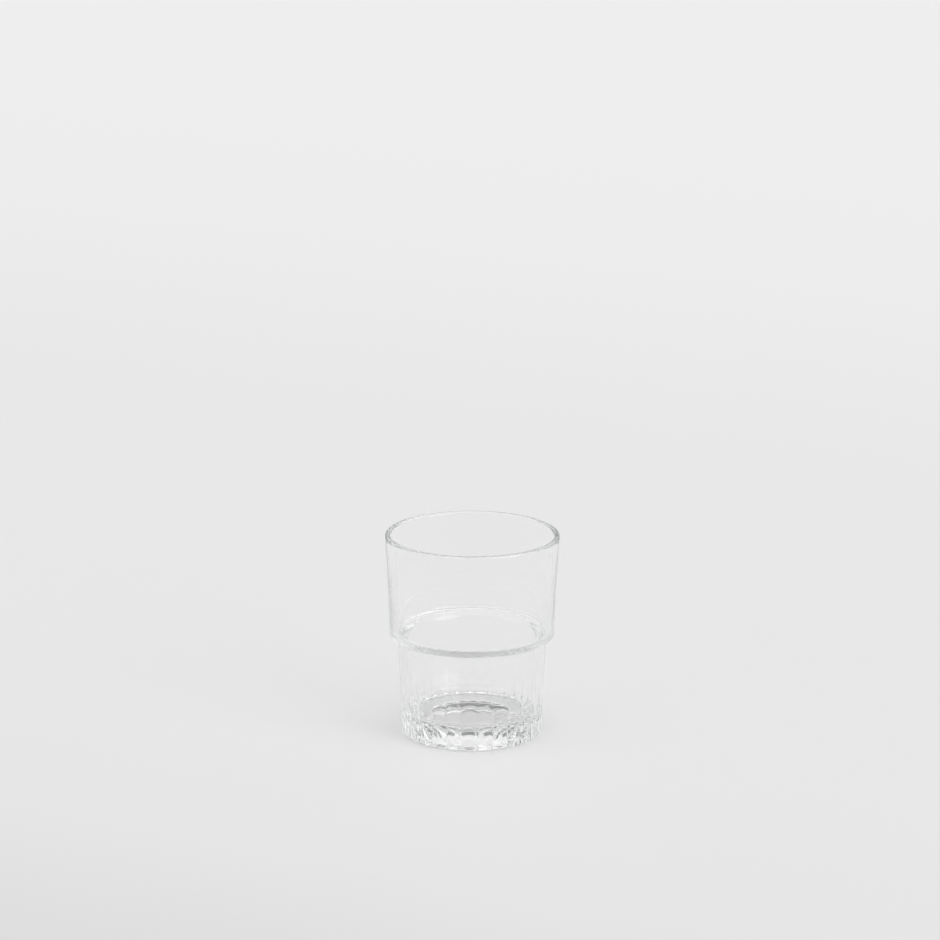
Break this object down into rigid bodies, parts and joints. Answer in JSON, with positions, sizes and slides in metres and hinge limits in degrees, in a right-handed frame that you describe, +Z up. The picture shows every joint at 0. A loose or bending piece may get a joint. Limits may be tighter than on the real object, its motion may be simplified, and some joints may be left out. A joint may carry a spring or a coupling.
{
  "type": "drinking glass",
  "caption": "Stacking water tumbler of clear pressed glass with a tapered bowl, a stepped shoulder and a ribbed foot round a domed recess.",
  "frame": {"origin": "on the table, at the centre of the foot ring", "axes": "+Z up along the glass's axis, towards the rim; -Y is the front that faces the camera"},
  "size_m": [0.076, 0.076, 0.09],
  "materials": {
    "clear_glass": "clear, smooth, fire-polished pressed glass"
  },
  "bodies": {
    "root": {"tumbler": "clear_glass"}
  },
  "joints": []
}
